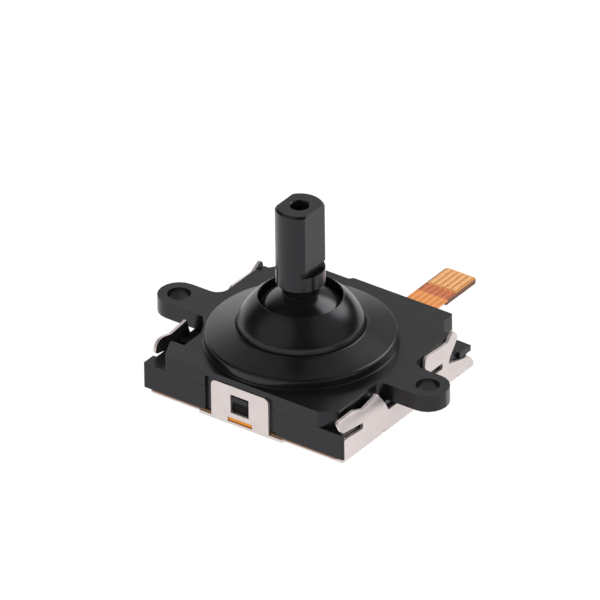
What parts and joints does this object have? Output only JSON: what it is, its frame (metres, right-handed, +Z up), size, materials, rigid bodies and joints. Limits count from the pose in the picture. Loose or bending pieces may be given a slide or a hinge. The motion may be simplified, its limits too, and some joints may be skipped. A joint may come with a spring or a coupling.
{
  "type": "analog stick module",
  "caption": "Miniature two-axis analog stick with a domed black housing, screw ears, folded steel base, sprung tilting post with click, and a short ribbon tail.",
  "frame": {"origin": "on the stick's axis at rest, at the underside of the steel base plate", "axes": "+X along the front edge with the tab, +Y towards the ribbon tail, +Z up along the stick"},
  "size_m": [0.027, 0.0279, 0.0161],
  "materials": {
    "black_plastic": "satin moulded",
    "steel": "bright nickel plated",
    "flex_film": "polyimide over copper",
    "backing_film": "brown backing",
    "spring_steel": "bright",
    "ivory_plastic": "natural acetal",
    "gold": "gold flash",
    "carbon_ink": "printed carbon"
  },
  "bodies": {
    "housing": {"upper_housing": "black_plastic", "lower_frame": "black_plastic", "base_plate": "steel", "flex_circuit": "flex_film", "tail_stiffener": "backing_film", "contact_1": "gold", "contact_2": "gold", "contact_3": "gold", "contact_4": "gold", "contact_5": "gold", "track_x_1": "carbon_ink", "track_x_2": "carbon_ink", "track_y_1": "carbon_ink", "track_y_2": "carbon_ink", "snap_dome": "spring_steel"},
    "carrier": {"gimbal_carrier": "ivory_plastic", "spring_seat": "ivory_plastic", "return_spring": "spring_steel"},
    "ring": {"gimbal_ring": "ivory_plastic"},
    "stick": {"stick_lever": "black_plastic", "cross_pin": "spring_steel"},
    "x_slide": {"slider_x": "ivory_plastic", "wiper_x": "spring_steel"},
    "y_slide": {"slider_y": "ivory_plastic", "wiper_y": "spring_steel"}
  },
  "joints": [
    {"name": "click_press", "type": "slide", "parent": "housing", "child": "carrier", "axis": [0, 0, -1], "range_m": [0, 0.0002], "stiffness_N_per_m": 2000, "deforming": ["snap_dome"]},
    {"name": "tilt_x", "type": "hinge", "parent": "carrier", "child": "ring", "pos_m": [0, 0, 0.00388], "axis": [1, 0, 0], "range_deg": [-13, 13], "stiffness_Nm_per_rad": 0.02, "deforming": ["return_spring"]},
    {"name": "tilt_y", "type": "hinge", "parent": "ring", "child": "stick", "pos_m": [0, 0, 0.00388], "axis": [0, 1, 0], "range_deg": [-13, 13], "stiffness_Nm_per_rad": 0.02},
    {"name": "slide_x", "type": "slide", "parent": "housing", "child": "x_slide", "axis": [1, 0, 0], "range_m": [-0.0006, 0.0006]},
    {"name": "slide_y", "type": "slide", "parent": "housing", "child": "y_slide", "axis": [0, 1, 0], "range_m": [-0.0005, 0.0005]}
  ],
  "couplings": [
    {"joint": "slide_x", "follows": "tilt_y", "m_per_rad": -0.00258},
    {"joint": "slide_y", "follows": "tilt_x", "m_per_rad": 0.00201}
  ]
}
